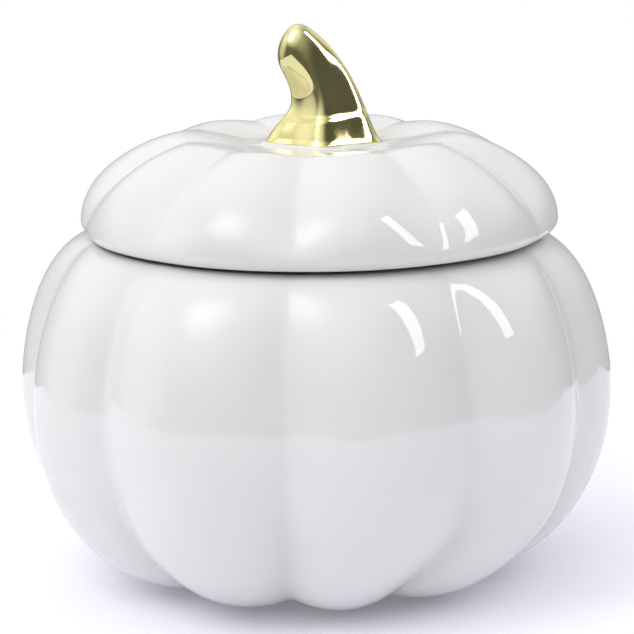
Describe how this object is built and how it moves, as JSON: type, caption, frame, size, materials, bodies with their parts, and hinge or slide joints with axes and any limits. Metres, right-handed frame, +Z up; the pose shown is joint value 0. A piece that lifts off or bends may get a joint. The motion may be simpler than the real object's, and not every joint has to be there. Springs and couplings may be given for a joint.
{
  "type": "lidded pumpkin jar",
  "caption": "Glazed ceramic jar shaped like a ribbed pumpkin, with a lift-off domed lid and a gold curved stem as its knob.",
  "frame": {"origin": "centre of the foot ring, on the surface that the jar stands on", "axes": "+Z up along the jar's axis, with the lid's own axis 2 mm to the right of it; -Y is the front, and the stem leans towards -X"},
  "size_m": [0.2086, 0.2072, 0.1952],
  "materials": {
    "white_glaze": "gloss",
    "gold_plate": "polished",
    "clear_silicone": "satin"
  },
  "bodies": {
    "jar": {"jar": "white_glaze"},
    "seal": {"seal_ring": "clear_silicone"},
    "lid": {"lid": "white_glaze", "stem": "gold_plate"}
  },
  "joints": [
    {"name": "lid_lift", "type": "slide", "parent": "jar", "child": "seal", "axis": [0, 0, 1], "range_m": [0, 0.15]},
    {"name": "lid_turn", "type": "hinge", "parent": "seal", "child": "lid", "pos_m": [0.002, 0, 0.125], "axis": [0, 0, 1], "continuous": true}
  ]
}
